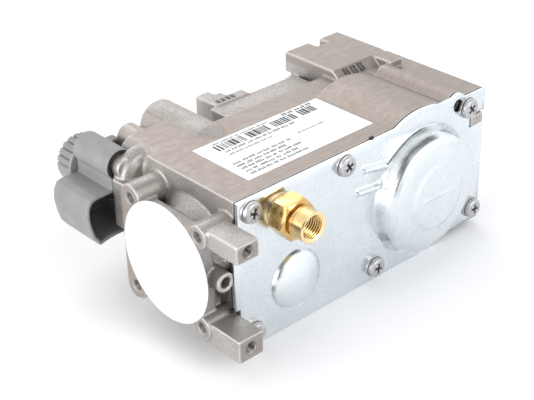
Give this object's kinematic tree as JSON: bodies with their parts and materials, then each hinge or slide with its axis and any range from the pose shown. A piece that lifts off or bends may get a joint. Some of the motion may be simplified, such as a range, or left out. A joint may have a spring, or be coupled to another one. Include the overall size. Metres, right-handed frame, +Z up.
{
  "type": "combination gas valve",
  "caption": "Combination gas valve: cast body with domed front plate, square flanged inlet, brass pilot fitting, regulator and turning knob.",
  "frame": {"origin": "centre of the inlet port at the inlet flange's outer face", "axes": "+X from the inlet flange into the body towards the outlet, +Y to the back with the knob and operators, +Z up to the side with the rating label"},
  "size_m": [0.1475, 0.1055, 0.0642],
  "materials": {
    "cast_alloy": "blasted casting",
    "zinc_plate": "zinc plated sheet",
    "gasket": "matt",
    "screw_steel": "zinc plated",
    "steel": "turned",
    "spring_steel": "drawn wire",
    "rubber_parts": "moulded",
    "coil_plastic": "moulded",
    "winding_tape": "wound wire",
    "grey_plastic": "satin",
    "brass": "turned",
    "screen_mesh": "woven",
    "white_film": "white",
    "printed_label": "printed"
  },
  "bodies": {
    "housing": {"valve_body": "cast_alloy", "cover_plate": "zinc_plate", "plate_gasket": "gasket", "plate_screws": "screw_steel", "operator_cover_screw": "screw_steel", "inlet_tap_screw": "screw_steel", "side_tap_screw": "screw_steel", "safety_nut": "steel", "servo_nut": "steel", "safety_yoke": "steel", "servo_yoke": "steel", "safety_core_tube": "steel", "servo_core_tube": "steel", "cock_bush": "steel", "main_valve_spring": "spring_steel", "safety_valve_spring": "spring_steel", "servo_plunger_spring": "spring_steel", "regulator_spring": "spring_steel", "cock_spring": "spring_steel", "safety_bobbin": "coil_plastic", "servo_bobbin": "coil_plastic", "safety_winding": "winding_tape", "servo_winding": "winding_tape", "operator_cover": "grey_plastic", "regulator_cap": "grey_plastic", "pilot_fitting": "brass", "fitting_washer": "brass", "inlet_screen": "screen_mesh", "inlet_sticker": "white_film", "outlet_sticker": "white_film", "rating_label": "printed_label"},
    "main_valve": {"main_valve_stem": "steel", "main_valve_disc": "rubber_parts", "diaphragm_plate_front": "steel", "diaphragm_plate_rear": "steel", "diaphragm_nut": "steel", "main_diaphragm": "rubber_parts"},
    "safety_valve": {"safety_valve_disc": "rubber_parts", "safety_valve_stem": "steel", "safety_plunger": "steel"},
    "servo_valve": {"servo_plunger": "steel", "servo_valve_seal": "rubber_parts"},
    "regulator_poppet": {"regulator_valve": "brass"},
    "regulator_adjuster": {"regulator_screw": "brass"},
    "pilot_adjuster": {"pilot_screw": "brass"},
    "knob": {"control_knob": "grey_plastic", "knob_spindle": "steel", "cock_plug": "brass"}
  },
  "joints": [
    {"name": "main_valve_lift", "type": "slide", "parent": "housing", "child": "main_valve", "axis": [0, -1, 0], "range_m": [0, 0.003], "stiffness_N_per_m": 600, "springref_m": -0.003, "deforming": ["main_valve_spring", "main_diaphragm"]},
    {"name": "safety_valve_lift", "type": "slide", "parent": "housing", "child": "safety_valve", "axis": [0, 1, 0], "range_m": [0, 0.0035], "stiffness_N_per_m": 800, "springref_m": -0.003, "deforming": ["safety_valve_spring"]},
    {"name": "servo_valve_lift", "type": "slide", "parent": "housing", "child": "servo_valve", "axis": [0, 1, 0], "range_m": [0, 0.0012], "stiffness_N_per_m": 500, "springref_m": -0.002, "deforming": ["servo_plunger_spring"]},
    {"name": "regulator_lift", "type": "slide", "parent": "housing", "child": "regulator_poppet", "axis": [0, 1, 0], "range_m": [0, 0.001], "stiffness_N_per_m": 500, "springref_m": -0.002, "deforming": ["regulator_spring"]},
    {"name": "regulator_turn", "type": "hinge", "parent": "housing", "child": "regulator_adjuster", "pos_m": [0.0404, 0.045, 0.0208], "axis": [0, 1, 0], "continuous": true},
    {"name": "pilot_turn", "type": "hinge", "parent": "housing", "child": "pilot_adjuster", "pos_m": [0.0236, 0.045, 0.0222], "axis": [0, 1, 0], "continuous": true},
    {"name": "knob_turn", "type": "hinge", "parent": "housing", "child": "knob", "pos_m": [0.0107, 0.06, 0.0128], "axis": [0, 1, 0], "range_deg": [0, 90]}
  ]
}
